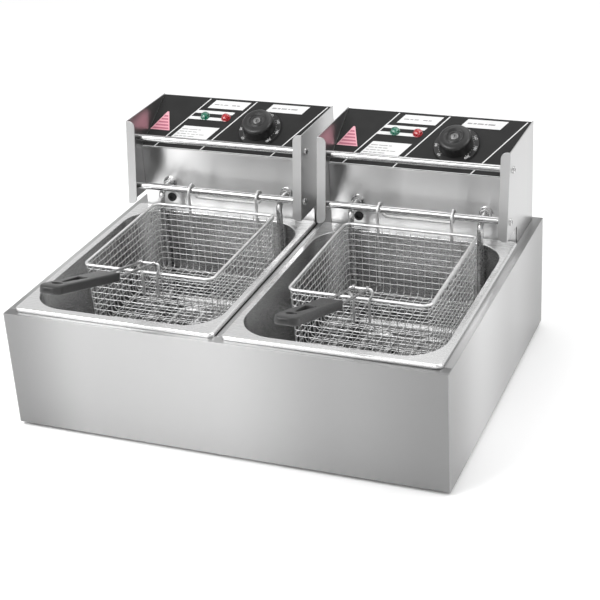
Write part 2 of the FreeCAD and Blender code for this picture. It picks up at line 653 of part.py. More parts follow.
def heating_element(side):
    """Tubular heater: out of the face, down the back of the tank and in three loops over its floor."""
    name = f"element_{side}"
    spread = size("tube_spread")
    exit_rise = size("tube_exit")
    drop = size("tube_drop")
    rise = size("element_rise")
    near = size("element_front")
    far = size("element_back")
    face = size("face_plane") + size("gauge") + size("nut_length") + 1
    lanes = [-spread, -spread * 0.6, -spread * 0.2, spread * 0.2, spread * 0.6, spread]
    points = [(-spread, face, exit_rise), (-spread, drop, exit_rise), (-spread, drop, rise)]
    for index in range(0, len(lanes), 2):
        points.append((lanes[index], near, rise))
        points.append((lanes[index + 1], near, rise))
        if index + 2 < len(lanes):
            points.append((lanes[index + 1], far, rise))
            points.append((lanes[index + 2], far, rise))
    points += [(spread, drop, rise), (spread, drop, exit_rise), (spread, face, exit_rise)]
    tube = swept(points, size("tube_radius"), size("tube_bend"))
    finish_head(solid_of(f"{name}_tube", tube), name, side)


def hex_nut(side, hand):
    """Hexagon fitting that clamps the heater's end to the face."""
    name = f"element_nut_{side}_{hand}"
    across = f"{SIDES[hand]} * <tube_spread>"
    prism = make("Part::Prism", f"{name}_prism", Circumradius="<nut_radius>", Height="<nut_length>")
    prism.Polygon = 6
    locate(prism, across, "<face_plane>", "<tube_exit>", (1, 0, 0), "90")
    bore = stub(f"{name}_bore", "<tube_radius> + 0.05", "2 * <nut_length> + 6", across,
                "<face_plane> + 5", "<tube_exit>")
    finish_head(cut(f"{name}_cut", prism, bore), name, side)


def grommet(side):
    """Black blind grommet in the face, below the left fitting."""
    name = f"grommet_{side}"
    flange = stub(f"{name}_flange", "<grommet_radius>", "<grommet_lip>", "<grommet_side>",
                  "<face_plane>", "<grommet_rise>")
    neck = stub(f"{name}_neck", "<grommet_radius> - 1.7", "5", "<grommet_side>",
                "<face_plane> + 5", "<grommet_rise>")
    dish = stub(f"{name}_dish", "<grommet_radius> - 2.6", "5", "<grommet_side>",
                "<face_plane> + 1", "<grommet_rise>")
    finish_head(cut(f"{name}_cut", fuse(f"{name}_whole", [flange, neck]), dish), name, side)


def cord_gland(side):
    """Cord bushing in the rear sheet, with its bore left open."""
    name = f"cord_gland_{side}"
    rear = "<head_rear> + <gland_length>"
    place = ("<gland_side>", rear, "<gland_rise>")
    sleeve = stub(f"{name}_sleeve", "<gland_radius> - 2.2", "<gland_length> + 6", *place)
    collar = stub(f"{name}_collar", "<gland_radius> + 1.5", "<gland_collar>", "<gland_side>",
                  "<head_rear> + <gland_collar>", "<gland_rise>")
    nose = stub(f"{name}_nose", "<gland_radius>", "<gland_length>", *place)
    bore = stub(f"{name}_bore", "<gland_bore>", "4 * <gland_length>", "<gland_side>", f"{rear} + {DRILL}",
                "<gland_rise>")
    finish_head(cut(f"{name}_cut", fuse(f"{name}_whole", [sleeve, collar, nose]), bore), name, side)


# ---------------------------------------------------------------- baskets

def basket_mesh(side):
    """Wire-mesh basket as a thin open shell of its outer shape, narrower at the floor."""
    name = f"basket_mesh_{side}"
    body = start_body(f"{name}_body")
    high = "<basket_rim> - 2 * <rim_radius>"
    deep = "<basket_depth> - 2 * <rim_radius>"
    wall = "<rim_radius> - <mesh> / 2"
    floor = f"{high} - ({deep})"
    sections = (
        ("outer", "AdditiveLoft", wall, floor, "<floor_bend>"),
        ("inner", "SubtractiveLoft", f"{wall} + <mesh>", f"{floor} + <mesh>", "<floor_bend> - <mesh>"),
    )
    for layer, kind, inset, level, bend in sections:
        rings = []
        for place, lift, shrink in (("top", high, inset), ("floor", level, f"{inset} + <basket_taper>")):
            wide = f"<basket_width> - 2 * ({shrink})"
            long = f"<basket_length> - 2 * ({shrink})"
            front = f"<basket_front> + {shrink}"
            corner = f"<basket_corner> - ({shrink})"
            rings.append(rounded(body, f"{name}_{layer}_{place}", wide, long, front, corner, lift))
        loft = body.newObject(f"PartDesign::{kind}", f"{name}_{layer}_loft")
        loft.Profile = rings[0]
        loft.Sections = [rings[1]]
        doc.recompute()
    for layer, kind, inset, level, bend in reversed(sections):
        low = value(level) + 0.1
        at_floor = lambda edge: low - 0.2 < edge.BoundBox.ZMin and edge.BoundBox.ZMax < low
        round_edges(body, f"{name}_{layer}_floor_bend", at_floor, bend)
    finish_basket(body, name, side)


def basket_rim(side):
    """Thick wire round the basket's mouth."""
    name = f"basket_rim_{side}"
    radius = size("rim_radius")
    half = size("basket_width") / 2 - radius
    front = size("basket_front") + radius
    rear = size("basket_front") + size("basket_length") - radius
    rise = size("basket_rim") - radius
    points = [(-half, front, rise), (half, front, rise), (half, rear, rise), (-half, rear, rise)]
    ring = swept(points, radius, size("basket_corner") - radius, closed=True)
    finish_basket(solid_of(f"{name}_wire", ring), name, side)


def basket_hooks(side):
    """Two bearer wires up the back of the basket that hook over the lower rod, joined behind it."""
    name = f"basket_hooks_{side}"
    radius = size("hook_radius")
    front = size("hook_front")
    back = front + 2 * size("hook_bend")
    crown = size("hook_crown") + size("hook_bend")
    middle = size(f"hook_side_{side}")
    tail = size("hook_tail")
    low = size("basket_rim") - size("basket_depth") + 6
    points = []
    for sign in (-1, 1):
        across = middle + sign * size("hook_spread")
        leg = [(across, front, low), (across, front, crown), (across, back, crown), (across, back, tail)]
        points += leg if sign < 0 else reversed(leg)
    finish_basket(solid_of(f"{name}_wire", swept(points, radius, size("hook_bend") - 0.01)), name, side)


def basket_bracket(side):
    """Wire loop on the front rim, wider above the rim than below; the handle swings on its top bar."""
    name = f"basket_bracket_{side}"
    wire = size("bracket_wire")
    half = size("bracket_half")
    narrow = half - size("bracket_jog")
    back = size("basket_front") - wire
    middle = size("bracket_side")
    top = size("bracket_top")
    shoulder = top - 2.5 * size("bracket_bend")
    neck = shoulder - 2 * size("bracket_jog")
    right = [(half, top), (half, shoulder), (narrow, neck), (narrow, size("bracket_low"))]
    left = [(-across, rise) for across, rise in reversed(right)]
    points = [(middle + across, back, rise) for across, rise in left + right]
    finish_basket(solid_of(f"{name}_wire", swept(points, wire, size("bracket_bend"))), name, side)


def handle_frame():
    """The pivot's place, and the grip's forward and upward directions."""
    slope = math.radians(size("handle_slope"))
    back = size("basket_front") - size("bracket_wire")
    pivot = FreeCAD.Vector(size("bracket_side"), back, size("bracket_top"))
    forward = FreeCAD.Vector(0, -math.cos(slope), math.sin(slope))
    upward = FreeCAD.Vector(0, math.sin(slope), math.cos(slope))
    return pivot, forward, upward


def handle_prongs():
    """One bent wire: from one eye along a prong, across inside the grip and back to the other eye."""
    pivot, forward, upward = handle_frame()
    across = FreeCAD.Vector(1, 0, 0)
    outward = forward * size("grip_start") - upward * size("grip_drop")
    entry = pivot + across * size("prong_wide") + outward
    near = (size("eye_radius") + size("bracket_wire")) / 2
    right = [
        pivot + across * size("prong_half") + outward.normalize() * near,
        entry,
        entry + forward * size("prong_buried"),
    ]
    left = [FreeCAD.Vector(2 * pivot.x - place.x, place.y, place.z) for place in reversed(right)]
    wire = swept([tuple(place) for place in right + left], size("prong_radius"), size("prong_bend"))
    thick = size("eye_width")
    for sign in (-1, 1):
        start = pivot + across * (sign * size("prong_half") - thick / 2)
        wire = wire.fuse(Part.makeCylinder(size("eye_radius"), thick, start, across))
    bore = size("bracket_wire") + size("pin_play")
    begin = pivot - across * (size("prong_half") + thick)
    return wire.cut(Part.makeCylinder(bore, 2 * (size("prong_half") + thick), begin, across))


def handle_wire(side):
    name = f"handle_prongs_{side}"
    finish_basket(solid_of(f"{name}_wire", handle_prongs()), name, side)


def grip_slot(body, name, start, drill):
    """Slot through the grip: narrow toward the tip, and wide with round corners toward the basket."""
    end = f"{start} + <slot_length>"
    points = [
        ("-<slot_narrow>", start), ("<slot_narrow>", start), ("<slot_wide>", end), ("-<slot_wide>", end),
    ]
    sketch = outline(body, f"{name}_slot", "XY_Plane", points, "<grip_height>")
    extrude(body, "Pocket", f"{name}_slot_pocket", sketch, drill)
    edge_at = value(end)
    half = value("<slot_wide>")

    def at_wide_end(edge):
        span = edge.BoundBox
        return is_upright(edge) and abs(span.YMin - edge_at) < 0.1 and abs(span.XMax) < half + 1

    round_edges(body, f"{name}_slot_round", at_wide_end, "<slot_round>")


def hang_hole(body, name, place, drill):
    """Round hole through the grip, near its tip."""
    sketch = body.newObject("Sketcher::SketchObject", f"{name}_hang")
    plane = next(item for item in body.Origin.OriginFeatures if item.Role == "XY_Plane")
    sketch.AttachmentSupport = [(plane, "")]
    sketch.MapMode = "FlatFace"
    bind(sketch, AttachmentOffset__Base__z="<grip_height>")
    centre = FreeCAD.Vector(0, value(place), 0)
    sketch.addGeometry(Part.Circle(centre, FreeCAD.Vector(0, 0, 1), value("<hang_hole>")))
    sketch.addConstraint(Sketcher.Constraint("DistanceX", 0, 3, 0))
    row = sketch.addConstraint(Sketcher.Constraint("DistanceY", 0, 3, centre.y))
    sketch.setExpression(f"Constraints[{row}]", expand(place))
    row = sketch.addConstraint(Sketcher.Constraint("Radius", 0, value("<hang_hole>")))
    sketch.setExpression(f"Constraints[{row}]", expand("<hang_hole>"))
    extrude(body, "Pocket", f"{name}_hang_pocket", sketch, drill)


def handle_grip(side):
    """Moulded grip with a hanging hole and a long tapered slot, cored for the prongs."""
    name = f"handle_grip_{side}"
    pivot, forward, upward = handle_frame()
    body = start_body(f"{name}_body")
    half = "<grip_width> / 2"
    near = "-<grip_start>"
    far = "-(<grip_start> + <grip_length>)"
    points = [(f"-{half}", near), (f"-{half}", far), (half, far), (half, near)]
    sketch = outline(body, f"{name}_plan", "XY_Plane", points, "-<grip_height> / 2")
    extrude(body, "Pad", f"{name}_pad", sketch, "<grip_height>")
    tip = value(far)
    rear = value(near)
    at_tip = lambda edge: is_upright(edge) and edge.BoundBox.YMin < tip + 1
    round_edges(body, f"{name}_tip", at_tip, "<grip_corner>")
    level = lambda edge: edge.BoundBox.ZLength < 0.01 and edge.BoundBox.YMin < rear - 1
    round_edges(body, f"{name}_soft_edges", level, "<grip_round>")
    drill = "2 * <grip_height>"
    grip_slot(body, name, f"{far} + <slot_inset>", drill)
    hang_hole(body, name, f"{far} + <hang_inset>", drill)
    slope = FreeCAD.Rotation(FreeCAD.Vector(1, 0, 0), -size("handle_slope"))
    body.Placement = FreeCAD.Placement(pivot - upward * size("grip_drop"), slope)
    doc.recompute()
    channel = solid_of(f"{name}_channel", handle_prongs())
    finish_basket(cut(f"{name}_cut", body, channel), name, side)


# ---------------------------------------------------------------- assembly

def build():
    cabinet_front()
    cabinet_rear()
    cabinet_base()
    cabinet_divider()
    for side in SIDES:
        cabinet_side(side)
        cabinet_foot(f"foot_front_{side}", side, "<foot_inset>")
        cabinet_foot(f"foot_rear_{side}", side, "<cabinet_depth> - <foot_inset>")
    for side in SIDES:
        tank(side)
        for hand in SIDES:
            head_side(side, hand)
            hex_nut(side, hand)
        for rod, back, rise in rods():
            head_rod(side, rod, back, rise)
        head_front(side)
        head_back(side)
        head_floor(side)
        control_overlay(side)
        pilot_lamp(side, "green")
        pilot_lamp(side, "red")
        thermostat(side)
        control_dial(side)
        control_knob(side)
        heating_element(side)
        grommet(side)
        cord_gland(side)
        basket_mesh(side)
        basket_rim(side)
        basket_hooks(side)
        basket_bracket(side)
        handle_wire(side)
        handle_grip(side)
    doc.recompute()


def check():
    """Refuse a failed object or an empty, broken or many-solid shape."""
    for item in doc.Objects:
        if "Invalid" in item.State or "Error" in item.State:
            raise ValueError(f"{item.Label} failed: {item.State}")
    for item in nodes:
        shape = item.Shape
        if shape.isNull() or not shape.isValid() or len(shape.Solids) != 1:
            raise ValueError(f"{item.Label} is not one sound solid: {len(shape.Solids)}")


build()
check()
os.makedirs("parts", exist_ok=True)
for item in nodes:
    item.Shape.exportStep(os.path.join("parts", item.Label + ".step"))
print(len(nodes), "sub-parts")
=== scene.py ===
import math

import bpy
from mathutils import Matrix, Vector


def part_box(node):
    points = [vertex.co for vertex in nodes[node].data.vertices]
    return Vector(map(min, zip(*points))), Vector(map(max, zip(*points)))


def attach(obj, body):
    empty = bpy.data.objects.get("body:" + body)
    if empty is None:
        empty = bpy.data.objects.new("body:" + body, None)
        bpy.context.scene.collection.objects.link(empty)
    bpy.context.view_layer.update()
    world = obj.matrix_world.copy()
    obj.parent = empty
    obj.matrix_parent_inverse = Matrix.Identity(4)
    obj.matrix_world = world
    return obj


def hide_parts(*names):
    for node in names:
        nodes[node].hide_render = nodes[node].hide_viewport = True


# The looks of a double-tank countertop deep fryer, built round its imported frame.
# Metres, +Z up, front at -Y.  Each unit, left or right, has the same pieces, made by loops over SIDES.
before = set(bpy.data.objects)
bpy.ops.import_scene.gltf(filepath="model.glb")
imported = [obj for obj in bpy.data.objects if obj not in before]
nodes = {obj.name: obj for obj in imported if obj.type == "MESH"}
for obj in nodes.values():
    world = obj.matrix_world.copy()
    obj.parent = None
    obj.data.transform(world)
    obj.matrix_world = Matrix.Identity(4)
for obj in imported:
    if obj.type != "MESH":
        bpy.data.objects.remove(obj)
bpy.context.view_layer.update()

MM = 0.001
SIDES = {"left": -1, "right": 1}

# the camera's place and its turns: round the object, down on it, and about its own line of sight
CAMERA_PLACE = (0.6875, -1.5073, 0.9557)
CAMERA_AZIMUTH = math.radians(23.14)
CAMERA_ELEVATION = math.radians(26.46)
CAMERA_ROLL = math.radians(-3.66)
CAMERA_LENS = 89.5

# control deck
DECK_ANGLE = math.radians(29.8)
FACING_THICKNESS = 0.5 * MM
FACING_START = 0.8 * MM
PRINT_THICKNESS = 0.12 * MM
PRINT_SHIFT = -3.0 * MM
LEAN = 0.60      # how far a printed slanted edge moves across for each step up the slope
KNOB_PLACE = (37 * MM, 45 * MM)
KNOB_FOOT = 2.8 * MM
MARK_THICKNESS = 0.05 * MM
NUMBER_HEIGHT = 5.2 * MM
NUMBER_RING = 26.2 * MM      # radius of the ring of numbers on the dial
LAMP_PLACES = {"green": (-50 * MM, 60.5 * MM), "red": (-19 * MM, 60.5 * MM)}

# Base-colour levels along one axis of a steel sheet, as (place in metres, level).  They imitate the soft
# reflections in the photo, and were set until the render's mean greys came near the photo's.
# They are no property of the steel, and stay in place in every view.  An even sheet has one level.
FRONT_PAINTED_REFLECTION = ("X", ((-0.28, 0.24), (-0.17, 0.42), (0.0, 0.46), (0.15, 0.31), (0.28, 0.24)))
SIDE_PAINTED_REFLECTION = ("Y", ((-0.16, 0.34), (-0.02, 0.62), (0.12, 0.48), (0.28, 0.28)))
# the tank's levels are painted shade, darker toward the tank's floor, and painted reflection higher up its
# walls
TANK_PAINTED_SHADE_AND_REFLECTION = ("Z", ((0.03, 0.26), (0.09, 0.66), (0.15, 0.76), (0.19, 0.78)))
EDGE_ROUND = 0.7 * MM

# studio
FLOOR_REACH = 8.0
WALL_TONE = 1.0
CEILING_TONE = 0.66

# basket wires
ROW_PITCH = 8.2 * MM
COLUMN_PITCH = 9.0 * MM
MESH_WIRE = 0.48 * MM
CRIMP = 0.38 * MM
MESH_CORNER = 9 * MM
HALF_SHELL = 0.7 * MM      # half the thickness of the CAD's shell, whose middle the wires follow
BASKET_TAPER = 3 * MM
FLOOR_BEND = 5 * MM
JOINT_WIRE = 1.9 * MM
JOINT_RISE = 0.9 * MM
JOINT_ENDS = (61 * MM, 84 * MM)      # ends of the lap in the front rim, from the unit's centre line

# basket handle, along and across the grip from its pivot
HANDLE_SLOPE = math.radians(18.7)
GRIP_START = 95 * MM
GRIP_LENGTH = 141 * MM
GRIP_DROP = 5.5 * MM
GRIP_HALF = 13.5 * MM
GRIP_HIGH = 5.5 * MM
HANG_INSET = 21 * MM
HANG_RADIUS = 6.3 * MM
SLOT_INSET = 33.5 * MM
SLOT_LENGTH = 46 * MM
SLOT_NARROW = 2.2 * MM
SLOT_WIDE = 6.6 * MM
SLOT_CORNER = 4 * MM
SLOT_TIP = 1.6 * MM      # from the slot's narrow end back to the centre of its arc
BRACKET_WIRE = 1.6 * MM

# the grip's rounding: its nose is the far end, and its heel the end toward the basket
NOSE_LENGTH = 11 * MM
NOSE_NARROWING = 10 * MM
NOSE_THINNING = 3.0 * MM
NOSE_DROOP = 1.2 * MM
HEEL_LENGTH = 2.5 * MM
HEEL_NARROWING = 1.5 * MM
HEEL_THINNING = 1.0 * MM
UNDERSIDE_RISE = 1.0 * MM
WAIST = 0.07      # share of the width that is lost at the waist
DISH_DEPTH = 2.0 * MM
DISH_HALF = 10.5 * MM
TOP_ROUND = 2.2 * MM
LOW_ROUND = 2.4 * MM


# ---------------------------------------------------------------- meshes

class Pieces:
    """Collects the points and faces of one piece."""

    def __init__(self):
        self.points = []
        self.faces = []

    def add(self, points, faces, place=None):
        start = len(self.points)
        moved = points if place is None else [place @ Vector(point) for point in points]
        self.points += [tuple(point) for point in moved]
        self.faces += [tuple(start + index for index in face) for face in faces]

    def make(self, name, material, sharp=None):
        """The Blender object; sharp is the angle above which an edge stays hard."""
        mesh = bpy.data.meshes.new(name)
        mesh.from_pydata(self.points, [], self.faces)
        mesh.validate()
        mesh.shade_smooth()
        if sharp is not None:
            mesh.set_sharp_from_angle(angle=math.radians(sharp))
        mesh.materials.append(material)
        item = bpy.data.objects.new(name, mesh)
        bpy.context.scene.collection.objects.link(item)
        return item


def settle(item, body, slot, *replaced):
    """Put a finished piece on its body, and hide the nodes it stands for."""
    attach(item, body)
    if replaced:
        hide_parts(*replaced)
    return item


def tube(pieces, path, radius, sides=6, closed=False):
    """A round wire along a path; its section is carried along without twisting."""
    count = len(path)
    normal = None
    points = []
    for index, spot in enumerate(path):
        before = path[index - 1] if closed or index > 0 else spot
        after = path[(index + 1) % count] if closed or index < count - 1 else spot
        tangent = (after - before).normalized()
        if normal is None:
            normal = tangent.orthogonal()
        normal = (normal - tangent * normal.dot(tangent)).normalized()
        binormal = tangent.cross(normal)
        for side in range(sides):
            turn = 2 * math.pi * side / sides
            points.append(spot + (normal * math.cos(turn) + binormal * math.sin(turn)) * radius)
    faces = []
    for index in range(count if closed else count - 1):
        here = index * sides
        there = ((index + 1) % count) * sides
        for side in range(sides):
            beside = (side + 1) % sides
            faces.append((here + side, here + beside, there + beside, there + side))
    if not closed:
        faces.append(tuple(reversed(range(sides))))
        faces.append(tuple(range((count - 1) * sides, count * sides)))
    pieces.add(points, faces)


def turned(pieces, profile, place, segments=48, reach=None):
    """A solid turned about Z from (radius, height) pairs; reach may trim the radius by turn and height."""
    points = []
    faces = []
    for radius, height in profile:
        for step in range(segments):
            turn = 2 * math.pi * step / segments
            out = radius if reach is None else min(radius, reach(turn, height))
            points.append((out * math.cos(turn), out * math.sin(turn), height))
    for row in range(len(profile) - 1):
        for step in range(segments):
            beside = (step + 1) % segments
            low = row * segments
            faces.append((low + step, low + beside, low + segments + beside, low + segments + step))
    faces.append(tuple(reversed(range(segments))))
    last = (len(profile) - 1) * segments
    faces.append(tuple(range(last, last + segments)))
    pieces.add(points, faces, place)


def slab(pieces, corners, thickness, place):
    """A thin flat plate of a polygon given in the plane of its place."""
    count = len(corners)
    points = [(across, up, 0) for across, up in corners]
    points += [(across, up, thickness) for across, up in corners]
    faces = [tuple(reversed(range(count))), tuple(range(count, 2 * count))]
    for index in range(count):
        beside = (index + 1) % count
        faces.append((index, beside, count + beside, count + index))
    pieces.add(points, faces, place)


def unit_middle(side):
    """The place across of a unit's centre line, which is that of its tank."""
    low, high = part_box(f"tank_{side}")
    return (low.x + high.x) / 2


def scaled(corners):
    """Pairs of millimetres as pairs of metres."""
    return [(across * MM, up * MM) for across, up in corners]


def frame_of(origin, across, up):
    """A matrix whose columns are a place's own axes."""
    normal = across.cross(up)
    rotation = Matrix((across, up, normal)).transposed().to_4x4()
    return Matrix.Translation(origin) @ rotation


# ---------------------------------------------------------------- materials

class Material:
    """A node material with its Principled shader at hand."""

    def __init__(self, name, **sockets):
        self.material = bpy.data.materials.new(name)
        self.material.use_nodes = True
        self.tree = self.material.node_tree
        self.shader = self.tree.nodes["Principled BSDF"]
        for socket, number in sockets.items():
            self.shader.inputs[socket.replace("_", " ")].default_value = number

    def node(self, kind, **sockets):
        item = self.tree.nodes.new(kind)
        for socket, number in sockets.items():
            item.inputs[socket.replace("_", " ")].default_value = number
        return item

    def link(self, start, end):
        self.tree.links.new(start, end)

    def noise(self, scale, detail=2.0, stretch=(1, 1, 1), roughness=0.5):
        """Noise in the object's own coordinates, stretched along its axes."""
        coordinates = self.node("ShaderNodeTexCoord")
        mapping = self.node("ShaderNodeMapping", Scale=stretch)
        noise = self.node("ShaderNodeTexNoise", Scale=scale, Detail=detail, Roughness=roughness)
        self.link(coordinates.outputs["Object"], mapping.inputs["Vector"])
        self.link(mapping.outputs["Vector"], noise.inputs["Vector"])
        return noise.outputs["Fac"]

    def ramp(self, factor, low, high, start=0.3, end=0.7):
        """A blend of two colours over part of a factor's range."""
        ramp = self.node("ShaderNodeValToRGB")
        ramp.color_ramp.elements[0].position = start
        ramp.color_ramp.elements[1].position = end
        ramp.color_ramp.elements[0].color = (*low, 1)
        ramp.color_ramp.elements[1].color = (*high, 1)
        self.link(factor, ramp.inputs["Fac"])
        return ramp.outputs["Color"]

    def graded(self, axis, stops):
        """A tone that changes along one of the object's own axes, from (place, level) stops."""
        coordinates = self.node("ShaderNodeTexCoord")
        split = self.node("ShaderNodeSeparateXYZ")
        self.link(coordinates.outputs["Object"], split.inputs["Vector"])
        start = stops[0][0]
        reach = stops[-1][0] - start
        ramp = self.node("ShaderNodeValToRGB")
        ramp.color_ramp.interpolation = "EASE"
        marks = ramp.color_ramp.elements
        marks.remove(marks[1])
        for place, level in stops:
            mark = marks[0] if place == start else marks.new((place - start) / reach)
            mark.color = (*grey(level), 1)
        self.link(self.spread(split.outputs[axis], 0, 1, start, start + reach), ramp.inputs["Fac"])
        return ramp.outputs["Color"]

    def spread(self, factor, low, high, start=0.3, end=0.7):
        """A number that follows a factor between two limits."""
        span = self.node("ShaderNodeMapRange")
        for socket, number in (("From Min", start), ("From Max", end), ("To Min", low), ("To Max", high)):
            span.inputs[socket].default_value = number
        self.link(factor, span.inputs["Value"])
        return span.outputs["Result"]

    def bump(self, height, depth, strength=1.0, edge=None):
        """Surface relief; edge rounds the sheet's edges by that radius."""
        bump = self.node("ShaderNodeBump", Strength=strength, Distance=depth)
        self.link(height, bump.inputs["Height"])
        if edge is not None:
            bevel = self.node("ShaderNodeBevel", Radius=edge)
            bevel.samples = 4
            self.link(bevel.outputs["Normal"], bump.inputs["Normal"])
        self.link(bump.outputs["Normal"], self.shader.inputs["Normal"])


def bands(low, high, drift=(6, 2, 2)):
    """A steel's tone in soft bands between two levels, which imitate soft reflections as the grades do.

    drift says how closely the bands follow each axis.
    """
    return lambda made: made.ramp(made.noise(1.0, 1.0, drift), grey(low), grey(high), 0.35, 0.65)


def grade(axis, stops):
    """A steel's tone that changes along one axis of a sheet, to imitate soft reflections."""
    return lambda made: made.graded(axis, stops)


def brushed_steel(name, grain, tone, roughness, anisotropy=0.7):
    """Stainless sheet: fine scratches along one axis, over a tone that bands or grade gives."""
    made = Material(name, Metallic=1.0, Anisotropic=anisotropy, Anisotropic_Rotation=0.25)
    stretch = [1.0, 1.0, 1.0]
    stretch[grain] = 0.012
    scratches = made.noise(1500, 3.0, stretch, 0.6)
    made.link(tone(made), made.shader.inputs["Base Color"])
    made.link(made.spread(scratches, *roughness), made.shader.inputs["Roughness"])
    made.bump(scratches, 0.001 * MM, 0.25, EDGE_ROUND)
    return made.material


def bright_wire(name, low, high, roughness, relief=0.02 * MM):
    """Drawn or plated wire, with small uneven spots in its tone and its surface."""
    made = Material(name, Metallic=1.0)
    spots = made.noise(420, 3.0)
    made.link(made.ramp(spots, low, high), made.shader.inputs["Base Color"])
    made.link(made.spread(spots, *roughness), made.shader.inputs["Roughness"])
    made.bump(spots, relief, 0.4)
    return made.material


def moulded_plastic(name, low, high, roughness, texture=900, relief=0.02 * MM, shine=0.5):
    """Moulded plastic with a fine spark-eroded texture."""
    made = Material(name, Specular_IOR_Level=shine)
    texture_noise = made.noise(texture, 2.0)
    drift = made.noise(30, 2.0)
    made.link(made.ramp(drift, low, high), made.shader.inputs["Base Color"])
    made.link(made.spread(texture_noise, *roughness), made.shader.inputs["Roughness"])
    made.bump(texture_noise, relief, 0.5)
    return made.material


def printed(name, low, high, roughness):
    """Printing ink on the smooth facing."""
    return moulded_plastic(name, low, high, roughness, 1500, 0.006 * MM)


def lens(name, low, high):
    """Translucent coloured plastic lens, a little uneven in its colour."""
    made = Material(name, Coat_Weight=1.0, Coat_Roughness=0.05, IOR=1.5, Transmission_Weight=0.35)
    drift = made.noise(260, 1.0)
    made.link(made.ramp(drift, low, high), made.shader.inputs["Base Color"])
    made.link(made.spread(drift, 0.08, 0.2), made.shader.inputs["Roughness"])
    return made.material


def grey(level):
    """A neutral grey."""
    return (level, level, level)


PALETTE = {
    # The next six steel entries are one stainless steel, set lighter or darker sheet by sheet to stand for
    # how light falls on each face: painted light and shade, on top of the painted reflection of their bands
    # and grades.
    "cabinet": brushed_steel("cabinet_steel", 0, bands(0.42, 0.56, (5, 1, 2)), (0.30, 0.32), 0.8),
    "cabinet_front": brushed_steel("cabinet_front_steel", 0, grade(*FRONT_PAINTED_REFLECTION), (0.30, 0.32), 0.8),
    "cabinet_side": brushed_steel("cabinet_side_steel", 1, grade(*SIDE_PAINTED_REFLECTION), (0.30, 0.32), 0.8),
    "tank": brushed_steel("tank_steel", 0, grade(*TANK_PAINTED_SHADE_AND_REFLECTION), (0.26, 0.28), 0.3),
    "head": brushed_steel("head_steel", 0, bands(0.54, 0.74, (14, 2, 3)), (0.30, 0.32), 0.85),
    "head_side": brushed_steel("head_side_steel", 2, bands(0.42, 0.50, (2, 6, 2)), (0.28, 0.30), 0.3),
    "rod": bright_wire("rod_steel", grey(0.50), grey(0.60), (0.14, 0.20), 0.002 * MM),
    "wire": bright_wire("basket_wire_steel", grey(0.64), grey(0.76), (0.36, 0.46), 0.006 * MM),
    "prong": bright_wire("prong_steel", grey(0.40), grey(0.52), (0.16, 0.26)),
    "cap": bright_wire("knob_cap", grey(0.20), grey(0.28), (0.30, 0.40)),
    "element": bright_wire("element_sheath_steel", grey(0.48), grey(0.58), (0.24, 0.34)),
    "nut": bright_wire("nut_plate", grey(0.60), grey(0.70), (0.14, 0.24)),
    "facing": moulded_plastic("facing_print", grey(0.018), grey(0.024), (0.34, 0.42), 1500, 0.004 * MM, 0.15),
    "white_print": printed("white_print", grey(0.62), grey(0.70), (0.38, 0.48)),
    "grey_print": printed("grey_print", grey(0.20), grey(0.28), (0.40, 0.50)),
    "pink_print": printed("pink_print", (0.72, 0.34, 0.40), (0.78, 0.40, 0.46), (0.40, 0.50)),
    "rose_print": printed("rose_print", (0.42, 0.12, 0.18), (0.48, 0.15, 0.21), (0.40, 0.50)),
    "knob": moulded_plastic("knob_plastic", grey(0.010), grey(0.016), (0.28, 0.40)),
    "dial": moulded_plastic("dial_plastic", grey(0.010), grey(0.016), (0.30, 0.42)),
    "grip": moulded_plastic("grip_plastic", grey(0.014), grey(0.022), (0.34, 0.48), 700, 0.03 * MM),
    "black": moulded_plastic("grommet_plastic", grey(0.010), grey(0.014), (0.40, 0.55)),
    "shadow": moulded_plastic("recess_shadow", grey(0.05), grey(0.07), (0.60, 0.70)),
    "rubber": moulded_plastic("foot_rubber", grey(0.012), grey(0.020), (0.60, 0.80)),
    "green": lens("green_lens", (0.004, 0.13, 0.075), (0.01, 0.22, 0.13)),
    "red": lens("red_lens", (0.38, 0.006, 0.012), (0.55, 0.012, 0.02)),
    "case": brushed_steel("thermostat_case", 0, bands(0.50, 0.56), (0.30, 0.40)),
}


def dress_nodes():
    """Give each CAD node the material of its kind."""
    kinds = (
        ("cabinet_side", "cabinet_side"), ("cabinet_front", "cabinet_front"), ("cabinet", "cabinet"),
        ("foot", "rubber"), ("tank", "tank"),
        ("control_overlay", "facing"), ("lamp_green", "green"), ("lamp_red", "red"), ("thermostat", "case"),
        ("element_nut", "nut"), ("element", "element"), ("grommet", "black"), ("cord_gland", "black"),
        ("knob", "knob"), ("dial", "dial"), ("basket", "wire"), ("handle_prongs", "prong"),
        ("handle_grip", "grip"),
    )
    for name, node in nodes.items():
        if name.startswith("head"):
            kind = "rod" if name.endswith("rod") else "head_side" if "plate" in name else "head"
        else:
            kind = next(kind for start, kind in kinds if name.startswith(start))
        node.data.materials.clear()
        node.data.materials.append(PALETTE[kind])


# ---------------------------------------------------------------- baskets

class Basket:
    """The rounded, tapering box that the basket's wires follow."""

    def __init__(self, side):
        low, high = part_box(f"basket_mesh_{side}")
        self.centre = Vector(((low.x + high.x) / 2, (low.y + high.y) / 2, 0))
        self.half_x = (high.x - low.x) / 2 - HALF_SHELL
        self.half_y = (high.y - low.y) / 2 - HALF_SHELL
        self.top = high.z
        self.floor = low.z + HALF_SHELL
        self.corner = MESH_CORNER
        self.reach = self.corner * math.sin(math.radians(45))

    def columns(self, half):
        """Places of the wires that cross the floor, evenly spread about the middle."""
        span = half - self.corner + self.reach
        count = 2 * round(span / COLUMN_PITCH)
        return [span * (2 * index / count - 1) for index in range(count + 1)]

    def wall(self, along, half, other):
        """How far out the wall is at a place along a side, and which way it faces there."""
        past = abs(along) - (half - self.corner)
        if past <= 0:
            return other, Vector((0, 1))
        drop = math.sqrt(self.corner ** 2 - past ** 2)
        return other - self.corner + drop, Vector((math.copysign(past, along), drop)) / self.corner


